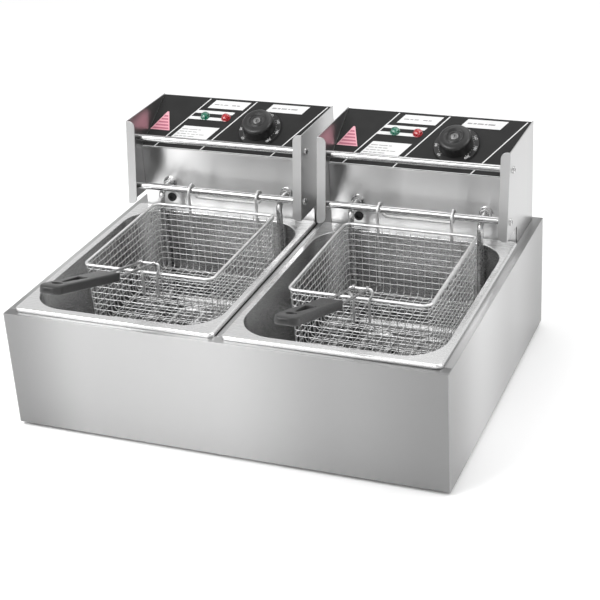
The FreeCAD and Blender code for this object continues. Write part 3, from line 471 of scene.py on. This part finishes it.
def crossing_wire(basket, along, half, other, parity, swap, rows, crossings):
    """One wire: down a wall, over the floor and up the opposite wall, crimped at each crossing."""
    out, facing = basket.wall(along, half, other)
    depth = basket.top - basket.floor

    def spot(sideways, outward, height, sign):
        flat = Vector((sideways, sign * outward))
        if swap:
            flat = Vector((flat.y, flat.x))
        return basket.centre + Vector((flat.x, flat.y, height))

    def wall_points(sign):
        points = []
        steps = 4 * len(rows)
        lowest = basket.floor + FLOOR_BEND
        for step in range(steps + 1):
            height = basket.top + (lowest - basket.top) * step / steps
            shrink = BASKET_TAPER * (basket.top - height) / depth
            phase = (basket.top - height) / ROW_PITCH + parity + (0 if sign > 0 else 1)
            push = CRIMP * math.cos(math.pi * phase) - shrink
            points.append(spot(along + facing.x * push, out + facing.y * push, height, sign))
        return points

    def bend_points(sign):
        points = []
        for step in range(1, 4):
            turn = math.pi / 2 * step / 4
            inset = BASKET_TAPER + FLOOR_BEND * (1 - math.cos(turn))
            height = basket.floor + FLOOR_BEND * (1 - math.sin(turn))
            points.append(spot(along - facing.x * inset, out - facing.y * inset, height, sign))
        return points

    path = wall_points(-1) + bend_points(-1)
    reach = out - BASKET_TAPER - FLOOR_BEND
    sideways = along - facing.x * (BASKET_TAPER + FLOOR_BEND)
    steps = 4 * crossings
    for step in range(steps + 1):
        place = reach * (2 * step / steps - 1)
        lift = CRIMP * math.cos(math.pi * (step / 4 + parity))
        path.append(spot(sideways, place, basket.floor + lift, 1))
    path += reversed(bend_points(1))
    path += reversed(wall_points(1))
    return path


def ring_wire(basket, height, row, count):
    """A wire right round the basket, crimped in and out past the upright wires."""
    depth = basket.top - basket.floor
    shrink = BASKET_TAPER * (basket.top - height) / depth
    straight_x = basket.half_x - basket.corner
    straight_y = basket.half_y - basket.corner
    arc = basket.corner * math.pi / 2
    lengths = [2 * straight_x, arc, 2 * straight_y, arc] * 2
    total = sum(lengths)
    samples = 4 * count
    path = []
    for sample in range(samples):
        along = total * sample / samples
        leg = 0
        while along > lengths[leg]:
            along -= lengths[leg]
            leg += 1
        turn = math.radians(-90 + 90 * (leg // 2))
        outward = Vector((math.cos(turn), math.sin(turn)))
        forward = Vector((-outward.y, outward.x))
        wide, deep = (basket.half_y, straight_x) if leg // 2 % 2 == 0 else (basket.half_x, straight_y)
        if leg % 2 == 0:
            flat = outward * wide + forward * (along - deep)
        else:
            bend = along / basket.corner
            outward, start = outward * math.cos(bend) + forward * math.sin(bend), (outward, forward)
            flat = start[0] * (wide - basket.corner) + start[1] * deep + outward * basket.corner
        push = CRIMP * math.cos(math.pi * (sample / 4 + row)) - shrink
        flat = flat + outward * push
        path.append(basket.centre + Vector((flat.x, flat.y, height)))
    return path


def basket_weave(side):
    """The crimped mesh: rings round the walls, and wires that run down, over the floor and up."""
    basket = Basket(side)
    pieces = Pieces()
    depth = basket.top - basket.floor - FLOOR_BEND
    rows = [basket.top - ROW_PITCH * (index + 0.35) for index in range(int(depth / ROW_PITCH + 0.65))]
    columns_x = basket.columns(basket.half_x)
    columns_y = basket.columns(basket.half_y)
    for index, along in enumerate(columns_x):
        walls = (along, basket.half_x, basket.half_y)
        tube(pieces, crossing_wire(basket, *walls, index, False, rows, len(columns_y)), MESH_WIRE)
    for index, along in enumerate(columns_y):
        walls = (along, basket.half_y, basket.half_x)
        tube(pieces, crossing_wire(basket, *walls, index + 1, True, rows, len(columns_x)), MESH_WIRE)
    upright = 2 * (len(columns_x) + len(columns_y))
    for row, height in enumerate(rows):
        tube(pieces, ring_wire(basket, height, row, upright), MESH_WIRE, closed=True)
    item = pieces.make(f"basket_weave_{side}", PALETTE["wire"])
    settle(item, f"basket_body_{side}", "basket_wire", f"basket_mesh_{side}")


def rim_joint(side):
    """Short lap under the front rim, where the two ends of the rim's wire are welded."""
    low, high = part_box(f"basket_rim_{side}")
    middle = unit_middle(side)
    back = low.y + JOINT_WIRE
    rise = low.z + JOINT_RISE
    path = [Vector((middle + across, back, rise)) for across in JOINT_ENDS]
    pieces = Pieces()
    tube(pieces, path, JOINT_WIRE, 16)
    settle(pieces.make(f"rim_joint_{side}", PALETTE["wire"], 60), f"basket_body_{side}", "basket_wire")


# ---------------------------------------------------------------- control deck

def deck_place(side, across, up, raised=0.0):
    """A place on the printed facing, with its own axes: across, up the slope and out of it."""
    low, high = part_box(f"control_overlay_{side}")
    slope = Vector((0, math.cos(DECK_ANGLE), math.sin(DECK_ANGLE)))
    right = Vector((1, 0, 0))
    corner = Vector(((low.x + high.x) / 2, low.y, low.z + FACING_THICKNESS * math.cos(DECK_ANGLE)))
    origin = corner + right * across + slope * (up - FACING_START)
    origin += right.cross(slope) * raised
    return frame_of(origin, right, slope)


def slanted(left, right, low, high):
    """A parallelogram with level ends and slanted sides; left and right are its lower corners."""
    shift = LEAN * (high - low)
    return [(left, low), (right, low), (right + shift, high), (left + shift, high)]


def print_on_deck(side, name, material, shapes, raised=0.0):
    """Thin printed areas on the facing."""
    pieces = Pieces()
    place = deck_place(side, PRINT_SHIFT, 0, raised)
    for corners in shapes:
        slab(pieces, scaled(corners), PRINT_THICKNESS, place)
    settle(pieces.make(f"{name}_{side}", PALETTE[material], 30), f"head_body_{side}", "overlay_print")


def text_rows(left, low, lengths, height, pitch):
    """Small bars in rows, that stand for lines of small print."""
    shapes = []
    for row, words in enumerate(lengths):
        start = left + LEAN * row * pitch
        for word in words:
            base = low + row * pitch
            shapes.append(slanted(start, start + word, base, base + height))
            start += word + 1.6
    return shapes


def facing_prints(side):
    """White rules and panels of the facing, the plain pink label and the small bars on them.

    Places are in millimetres: across from the facing's middle, and up its slope.
    """
    top = 92.6
    rules = [slanted(across, across + 1.7, 1.6, top) for across in (-104.5, -35.5, 67.5)]
    rules.append([(-121.3, 0.9), (125.3, 0.9), (125.3, 2.0), (-121.3, 2.0)])
    panels = [
        slanted(-49, 3.5, 76, 90.5), slanted(36.5, 90, 77, 91), slanted(-90, -37, 12, 42),
        slanted(-64.5, -8.5, 66, 71), slanted(-71.5, -15.5, 54.5, 59.5),
    ]
    print_on_deck(side, "facing_rules", "white_print", rules)
    print_on_deck(side, "facing_panels", "white_print", panels)
    lines = [
        (4, 6, 3, 9, 5, 7), (5, 3, 7, 4, 6, 8), (6, 4, 5, 9), (4, 8, 4, 6, 3, 7), (7, 3, 5, 6), (9, 12, 4),
    ]
    rows = text_rows(-86, 14.5, lines, 1.0, 4.2)
    rows += text_rows(-41, 82, [(7, 4, 6)], 1.6, 4) + text_rows(-15, 82, [(6, 4)], 1.6, 4)
    rows += text_rows(45, 83, [(6, 4, 8, 3, 9)], 1.9, 4)
    print_on_deck(side, "facing_small_print", "grey_print", rows, PRINT_THICKNESS)
    facing_label(side)


def facing_label(side):
    """Plain pink label, narrower toward its top, with darker bars that stand for its print."""
    low, top = 31, 64
    left, right = -120.5, -91

    def edges(up, inset):
        share = (up - low) / (top - low)
        return left + 14.5 * share + inset, right - 12.5 * share - inset

    def band(start, end, inset):
        start_left, start_right = edges(start, inset)
        end_left, end_right = edges(end, inset)
        return [(start_left, start), (start_right, start), (end_right, end), (end_left, end)]

    print_on_deck(side, "facing_label", "pink_print", [band(low, top, 0)])
    bars = [band(low + 1.8 + 5.4 * row, low + 4.6 + 5.4 * row, 1.6) for row in range(5)]
    print_on_deck(side, "facing_label_bars", "rose_print", bars, PRINT_THICKNESS)


def pilot_lamp(side, colour):
    """Faceted dome over a thin bezel."""
    pieces = Pieces()
    place = deck_place(side, *LAMP_PLACES[colour])
    profile = [(6.9, 0), (6.9, 0.8), (6.1, 1.1), (6.0, 2.4), (5.0, 4.4), (3.0, 5.7), (0.9, 6.1)]
    turned(pieces, scaled(profile), place, 10)
    item = pieces.make(f"lamp_lens_{colour}_{side}", PALETTE[colour], 12)
    settle(item, f"head_body_{side}", f"{colour}_lens", f"lamp_{colour}_{side}")


def arc_profile(centre, radius, start, end, steps):
    """(radius, height) pairs round an arc, angles in degrees."""
    turns = [math.radians(start + (end - start) * step / steps) for step in range(steps + 1)]
    return [(centre[0] + radius * math.cos(turn), centre[1] + radius * math.sin(turn)) for turn in turns]


def knob(side):
    """Round knob with a soft shoulder, a ringed crown and a metal centre cap with a mark across it."""
    base = deck_place(side, *KNOB_PLACE, KNOB_FOOT)
    profile = [(21.6, 0), (22, 0.4), (21.9, 1.2)]
    profile += arc_profile((16.6, 11.9), 4.9, 0, 78, 9)
    profile += [(14.6, 17.0), (13.2, 17.1), (12.5, 16.9), (12.1, 16.2), (11.6, 15.6), (10.7, 15.4)]
    profile += [(9.9, 15.6), (9.4, 16.2), (8.9, 16.7), (7.5, 16.8), (5.8, 16.6), (5.5, 16.2)]
    pieces = Pieces()
    turned(pieces, scaled(profile), base, 72)
    item = pieces.make(f"knob_cap_{side}", PALETTE["knob"], 50)
    settle(item, f"knob_body_{side}", "knob_plastic", f"knob_{side}")
    cap = Pieces()
    disc = [(5.2, 15.4), (5.2, 16.4), (4.8, 16.8), (4.2, 16.9), (3.6, 16.7), (0.4, 16.6)]
    turned(cap, scaled(disc), base, 40)
    item = cap.make(f"knob_centre_{side}", PALETTE["cap"], 50)
    settle(item, f"knob_body_{side}", "nut_steel")
    mark = Pieces()
    slab(mark, scaled([(-0.5, -2.6), (0.5, -2.6), (0.5, 2.6), (-0.5, 2.6)]), 0.5 * MM,
         base @ Matrix.Translation((0, 0, 16.4 * MM)))
    settle(mark.make(f"knob_mark_{side}", PALETTE["black"], 30), f"knob_body_{side}", "knob_plastic")


def letter_mesh(text, height):
    """The outline of a short text as points and faces, centred on its own origin."""
    curve = bpy.data.curves.new("number", "FONT")
    curve.body = text
    curve.size = height
    curve.align_x = "CENTER"
    curve.align_y = "CENTER"
    curve.extrude = MARK_THICKNESS
    curve.resolution_u = 3
    holder = bpy.data.objects.new("number", curve)
    bpy.context.scene.collection.objects.link(holder)
    bpy.context.view_layer.update()
    mesh = bpy.data.meshes.new_from_object(holder)
    points = [vertex.co.copy() for vertex in mesh.vertices]
    faces = [tuple(face.vertices) for face in mesh.polygons]
    bpy.data.objects.remove(holder)
    bpy.data.curves.remove(curve)
    bpy.data.meshes.remove(mesh)
    return points, faces


def dial_marks(side):
    """Temperature numbers and ticks round the dial's skirt."""
    pieces = Pieces()
    base = deck_place(side, *KNOB_PLACE, KNOB_FOOT + 0.03 * MM)
    numbers = [str(number) for number in range(60, 201, 20)]
    sweep = math.radians(270)
    start = math.radians(225)
    for index, number in enumerate(numbers):
        turn = start - sweep * index / (len(numbers) - 1)
        place = base @ Matrix.Rotation(turn - math.pi / 2, 4, "Z") @ Matrix.Translation((0, NUMBER_RING, 0))
        pieces.add(*letter_mesh(number, NUMBER_HEIGHT), place)
    ticks = 4 * (len(numbers) - 1)
    for index in range(ticks + 1):
        turn = start - sweep * index / ticks
        place = base @ Matrix.Rotation(turn - math.pi / 2, 4, "Z")
        low = 22.6 if index % 4 else 22.4
        slab(pieces, scaled([(-0.2, low), (0.2, low), (0.2, 23.6), (-0.2, 23.6)]), MARK_THICKNESS, place)
    item = pieces.make(f"dial_marks_{side}", PALETTE["white_print"], 30)
    settle(item, f"knob_body_{side}", "dial_plastic")


# ---------------------------------------------------------------- head fittings

def hex_fitting(side, hand):
    """Chamfered hexagon nut on a thin washer, round the end of the heater tube."""
    low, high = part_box(f"element_nut_{side}_{hand}")
    centre = Vector(((low.x + high.x) / 2, high.y, (low.z + high.z) / 2))
    place = frame_of(centre, Vector((1, 0, 0)), Vector((0, 0, 1)))
    half_flats = 6.9 * MM
    washer_height = 1.3 * MM
    washer_reach = 10 * MM

    def hexagon(turn, height):
        if height < washer_height:
            return washer_reach
        return half_flats / math.cos((turn + math.pi / 6) % (math.pi / 3) - math.pi / 6)

    profile = [(9.2, 0), (9.2, 0.9), (8.8, 1.2), (7.9, 1.31), (8.1, 1.9), (8.1, 6.0), (7.4, 6.8)]
    profile += [(6.2, 7.2), (4.6, 7.2), (4.4, 6.8)]
    pieces = Pieces()
    turned(pieces, scaled(profile), place, 60, hexagon)
    item = pieces.make(f"element_fitting_{side}_{hand}", PALETTE["nut"], 28)
    settle(item, f"head_body_{side}", "nut_steel", f"element_nut_{side}_{hand}")


def rod_screws(side):
    """Domed screw heads outside the side plates on the ends of the rods, each with a thin dark cross on top:
    painted shade that stands for a cross recess.
    """
    heads = Pieces()
    crosses = Pieces()
    dome = [(4.7, -0.2), (4.75, 0.5), (4.5, 1.3), (3.9, 2.1), (3.0, 2.6), (1.6, 2.9), (0.3, 3.0)]
    bars = [[(-0.45, -2.3), (0.45, -2.3), (0.45, 2.3), (-0.45, 2.3)]]
    bars.append([(-2.3, -0.45), (2.3, -0.45), (2.3, 0.45), (-2.3, 0.45)])
    for rod in ("upper", "lower"):
        low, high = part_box(f"head_{side}_{rod}_rod")
        back = (low.y + high.y) / 2
        rise = (low.z + high.z) / 2
        for hand, sign in SIDES.items():
            plate_low, plate_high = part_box(f"head_{side}_plate_{hand}")
            edge = plate_high.x if sign > 0 else plate_low.x
            place = frame_of(Vector((edge, back, rise)), Vector((0, sign, 0)), Vector((0, 0, 1)))
            turned(heads, scaled(dome), place, 32)
            recess = place @ Matrix.Translation((0, 0, 2.55 * MM))
            for bar in bars:
                slab(crosses, scaled(bar), 0.5 * MM, recess)
    settle(heads.make(f"rod_screws_{side}", PALETTE["nut"], 40), f"head_body_{side}", "nut_steel")
    # painted shade: dark crosses in place of the cross recesses
    item = crosses.make(f"screw_crosses_{side}", PALETTE["shadow"], 30)
    settle(item, f"head_body_{side}", "nut_steel")


# ---------------------------------------------------------------- handles

def soft_section(wide, low, high, top_round, low_round, steps=6):
    """(across, up) points of a rectangle with round corners, anticlockwise from the lower right."""
    corners = (
        (wide - low_round, low + low_round, low_round, -90),
        (wide - top_round, high - top_round, top_round, 0),
        (top_round - wide, high - top_round, top_round, 90),
        (low_round - wide, low + low_round, low_round, 180),
    )
    points = []
    for across, up, radius, start in corners:
        points += arc_profile((across, up), radius, start, start + 90, steps)
    return points


def grip_stations(count):
    """Places along the grip, closer together toward both ends."""
    return [0.5 - 0.5 * math.cos(math.pi * index / count) for index in range(count + 1)]


def grip_body(place):
    """The grip's skin: a flat top with a dish for the thumb, a slight waist and a blunt nose that droops."""
    points = []
    stations = grip_stations(56)
    for share in stations:
        to_tip = GRIP_LENGTH * (1 - share)
        from_rear = GRIP_LENGTH * share
        nose = 1 - min(1.0, to_tip / NOSE_LENGTH)
        heel = 1 - min(1.0, from_rear / HEEL_LENGTH)
        plan = math.sqrt(max(0.0, 1 - nose ** 2))
        waist = 1 - WAIST * math.exp(-((share - 0.30) / 0.22) ** 2)
        wide = (GRIP_HALF - NOSE_NARROWING * (1 - plan)) * waist - HEEL_NARROWING * heel ** 2
        shut = NOSE_THINNING * (1 - math.sqrt(max(0.0, 1 - nose ** 3))) + HEEL_THINNING * heel ** 2
        droop = NOSE_DROOP * max(0.0, (share - 0.85) / 0.15) ** 2
        low = 1.4 * shut - GRIP_HIGH + UNDERSIDE_RISE * max(0.0, 2 * share - 1) ** 2
        high = GRIP_HIGH - 0.7 * shut
        dish = DISH_DEPTH * math.exp(-((share - 0.15) / 0.095) ** 4)
        for across, up in soft_section(wide, low, high, TOP_ROUND, LOW_ROUND):
            if up > 0:
                up -= dish * max(0.0, 1 - (across / DISH_HALF) ** 4)
            points.append((across, GRIP_START + from_rear, up - droop))
    segments = len(points) // len(stations)
    faces = []
    for station in range(len(stations) - 1):
        here = station * segments
        for segment in range(segments):
            beside = (segment + 1) % segments
            there = here + segments
            faces.append((here + segment, here + beside, there + beside, there + segment))
    faces.append(tuple(reversed(range(segments))))
    faces.append(tuple(range(len(points) - segments, len(points))))
    faces = [tuple(reversed(face)) for face in faces]
    skin = Pieces()
    skin.add(points, faces, place)
    return skin


def grip_cutter(place):
    """The volumes of the hanging hole and of the tapered slot."""
    cutter = Pieces()
    far = GRIP_START + GRIP_LENGTH
    depth = 40 * MM
    hang = Matrix.Translation((0, far - HANG_INSET, -depth / 2))
    turned(cutter, [(HANG_RADIUS, 0), (HANG_RADIUS, depth)], place @ hang, 40)
    start = far - SLOT_INSET
    end = start - SLOT_LENGTH
    tip = arc_profile((0, start - SLOT_TIP), SLOT_NARROW, 20, 160, 6)
    left = arc_profile((SLOT_CORNER - SLOT_WIDE, end + SLOT_CORNER), SLOT_CORNER, 180, 270, 5)
    right = arc_profile((SLOT_WIDE - SLOT_CORNER, end + SLOT_CORNER), SLOT_CORNER, 270, 360, 5)
    slab(cutter, tip + left + right, depth, place @ Matrix.Translation((0, 0, -depth / 2)))
    return cutter


def grip(side):
    """Moulded grip on the two prongs, with its hanging hole and its slot cut through."""
    low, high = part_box(f"basket_bracket_{side}")
    pivot = Vector(((low.x + high.x) / 2, (low.y + high.y) / 2, high.z - BRACKET_WIRE))
    forward = Vector((0, -math.cos(HANDLE_SLOPE), math.sin(HANDLE_SLOPE)))
    place = frame_of(pivot, Vector((-1, 0, 0)), forward)
    place = place @ Matrix.Translation((0, 0, -GRIP_DROP))
    item = grip_body(place).make(f"grip_{side}", PALETTE["grip"], 40)
    carve(item, grip_cutter(place))
    settle(item, f"handle_body_{side}", "grip_plastic", f"handle_grip_{side}")


def carve(item, cutter):
    """Cut the cutter's volume out of an item, then soften the new edges."""
    tool = cutter.make("cutter", PALETTE["grip"])
    bpy.context.view_layer.objects.active = item
    cut = item.modifiers.new("cut", "BOOLEAN")
    cut.operation = "DIFFERENCE"
    cut.object = tool
    cut.solver = "EXACT"
    soft = item.modifiers.new("soft", "BEVEL")
    soft.width = 0.5 * MM
    soft.segments = 2
    soft.limit_method = "ANGLE"
    soft.angle_limit = math.radians(50)
    bpy.context.view_layer.update()
    graph = bpy.context.evaluated_depsgraph_get()
    mesh = bpy.data.meshes.new_from_object(item.evaluated_get(graph))
    item.modifiers.clear()
    item.data = mesh
    mesh.shade_smooth()
    mesh.set_sharp_from_angle(angle=math.radians(40))
    bpy.data.objects.remove(tool)


# ---------------------------------------------------------------- studio

def area_light(name, place, target, wide, high, power):
    """A soft box that looks at its target."""
    lamp = bpy.data.lights.new(name, "AREA")
    lamp.shape = "RECTANGLE"
    lamp.size = wide
    lamp.size_y = high
    lamp.energy = power
    item = bpy.data.objects.new(name, lamp)
    item.location = place
    item.rotation_euler = (Vector(target) - Vector(place)).to_track_quat("-Z", "Y").to_euler()
    item.visible_camera = False
    bpy.context.scene.collection.objects.link(item)


def surroundings():
    """Pale walls that darken a little toward the ceiling."""
    world = bpy.data.worlds.new("studio")
    bpy.context.scene.world = world
    world.use_nodes = True
    tree = world.node_tree
    coordinates = tree.nodes.new("ShaderNodeTexCoord")
    split = tree.nodes.new("ShaderNodeSeparateXYZ")
    blend = tree.nodes.new("ShaderNodeValToRGB")
    tree.links.new(coordinates.outputs["Generated"], split.inputs["Vector"])
    tree.links.new(split.outputs["Z"], blend.inputs["Fac"])
    tree.links.new(blend.outputs["Color"], tree.nodes["Background"].inputs["Color"])
    blend.color_ramp.elements[0].position = 0.0
    blend.color_ramp.elements[0].color = (*grey(WALL_TONE), 1)
    blend.color_ramp.elements[1].position = 0.8
    blend.color_ramp.elements[1].color = (*grey(CEILING_TONE), 1)


def studio():
    """Pale floor and surroundings, two large soft boxes, and pools of light before and beside the cabinet."""
    surroundings()
    floor = Pieces()
    corners = ((-1, -1), (1, -1), (1, 1), (-1, 1))
    floor.add([(across * FLOOR_REACH, back * FLOOR_REACH, 0) for across, back in corners], [(0, 1, 2, 3)])
    made = Material("studio_floor", Specular_IOR_Level=0.0)
    tone = made.noise(1.5, 1.0)
    made.link(made.ramp(tone, grey(0.93), grey(0.95)), made.shader.inputs["Base Color"])
    made.link(made.spread(tone, 0.85, 0.95), made.shader.inputs["Roughness"])
    floor.make("studio_floor", made.material)
    area_light("key", (-2.2, -1.6, 2.6), (0, 0, 0.1), 2.6, 2.6, 46)
    area_light("top", (0.4, 1.4, 3.0), (0, 0.1, 0), 3.0, 2.0, 30)
    area_light("front_pool", (-0.50, -0.80, 1.0), (-0.35, -0.50, 0), 0.8, 0.8, 9)
    area_light("side_pool", (1.0, 0.15, 1.0), (0.55, 0.10, 0), 0.6, 0.6, 4)


def camera():
    lens_item = bpy.data.cameras.new("camera")
    lens_item.lens = CAMERA_LENS
    lens_item.sensor_width = 36
    item = bpy.data.objects.new("camera", lens_item)
    turn = Matrix.Rotation(CAMERA_AZIMUTH, 4, "Z") @ Matrix.Rotation(math.pi / 2 - CAMERA_ELEVATION, 4, "X")
    item.matrix_world = Matrix.Translation(CAMERA_PLACE) @ turn @ Matrix.Rotation(CAMERA_ROLL, 4, "Z")
    bpy.context.scene.collection.objects.link(item)
    bpy.context.scene.camera = item


# ---------------------------------------------------------------- assembly

camera()
studio()
dress_nodes()
for each in SIDES:
    basket_weave(each)
    rim_joint(each)
    facing_prints(each)
    for shade in LAMP_PLACES:
        pilot_lamp(each, shade)
    knob(each)
    dial_marks(each)
    for end in SIDES:
        hex_fitting(each, end)
    rod_screws(each)
    grip(each)
bpy.context.scene.view_settings.view_transform = "Standard"
